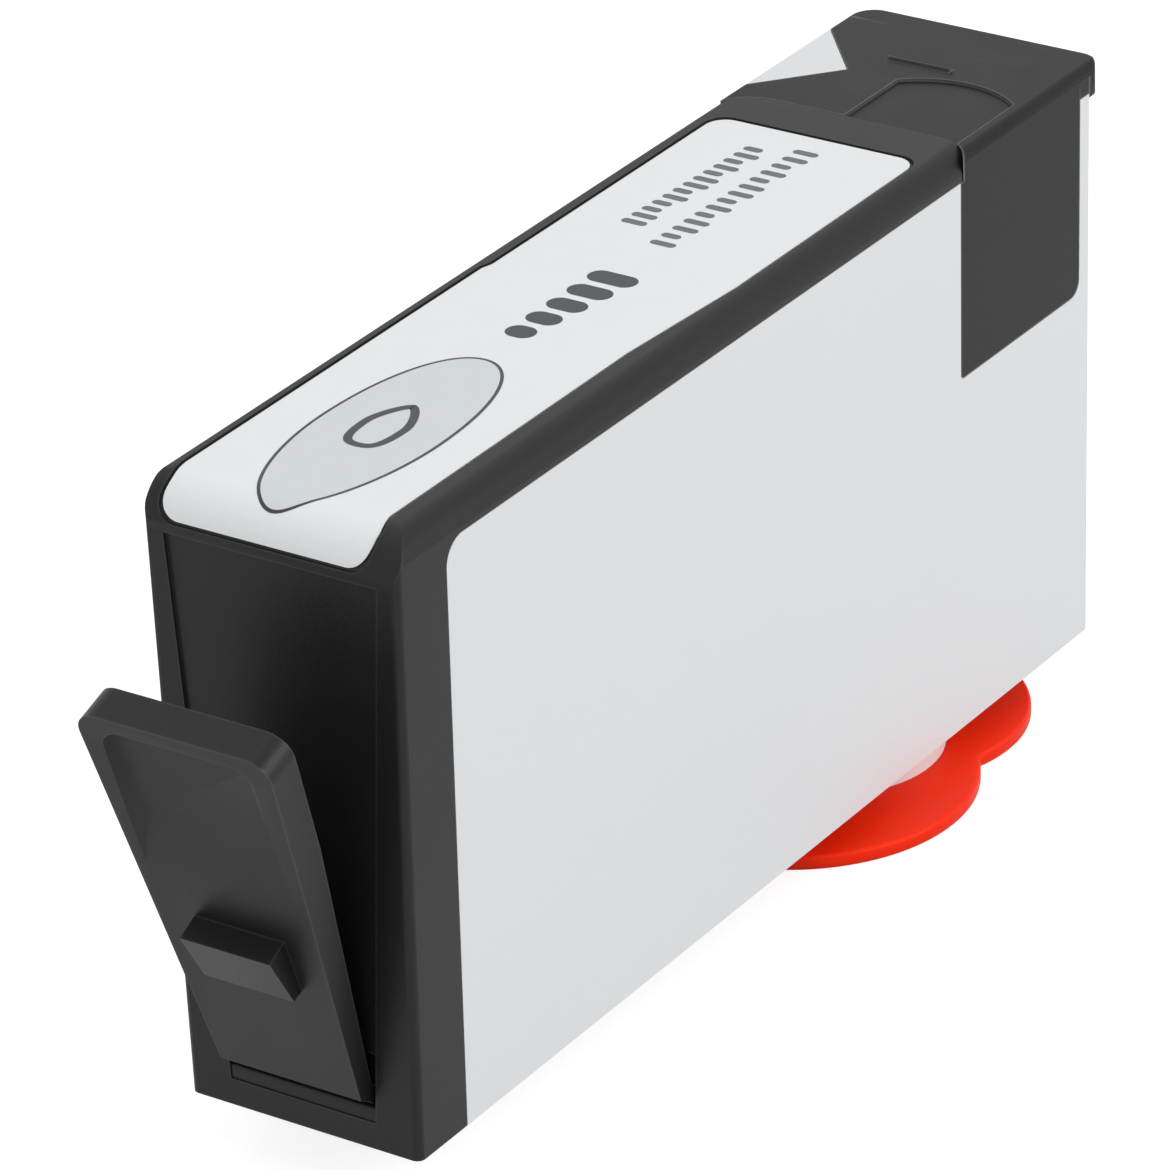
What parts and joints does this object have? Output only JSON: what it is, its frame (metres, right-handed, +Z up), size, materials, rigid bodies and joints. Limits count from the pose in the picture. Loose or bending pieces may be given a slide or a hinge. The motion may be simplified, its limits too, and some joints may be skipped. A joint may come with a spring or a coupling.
{
  "type": "inkjet ink cartridge",
  "caption": "Slim upright ink cartridge: pale drafted tank in a dark cover with a front latch lever, notched rear cap, top label and a red twist-off shipping cap under its outlet.",
  "frame": {"origin": "centre of the ink outlet's mouth, on the lower face of the outlet collar", "axes": "+X along the length from the latch end to the rear cap, +Z up to the top label, +Y to the side away from the viewer in the picture"},
  "size_m": [0.1157, 0.0306, 0.0558],
  "materials": {
    "black_plastic": "fine moulded, satin",
    "tank_plastic": "natural, satin",
    "label_paper": "coated, printed",
    "cap_plastic": "smooth moulded",
    "foam": "open-cell foam",
    "rubber": "moulded",
    "steel_mesh": "woven",
    "board": "solder mask",
    "gold": "plated"
  },
  "bodies": {
    "body": {"tank_shell": "tank_plastic", "tank_lid": "tank_plastic", "front_top_cover": "black_plastic", "rear_cap": "black_plastic", "top_label": "label_paper", "store_foam": "foam", "feed_foam": "foam", "outlet_wick": "foam", "filter_screen": "steel_mesh", "outlet_seal_ring": "rubber", "shipping_cap": "cap_plastic", "shipping_cap_seal": "rubber", "chip_board": "board", "chip_contacts": "gold", "vent_membrane": "label_paper", "vent_film": "steel_mesh", "fill_plugs": "rubber"},
    "lever": {"latch_lever": "black_plastic"}
  },
  "joints": [
    {"name": "lever_flex", "type": "hinge", "parent": "body", "child": "lever", "pos_m": [-0.0755, 0, 0.0069], "axis": [0, 1, 0], "range_deg": [0, 12], "stiffness_Nm_per_rad": 0.25}
  ]
}
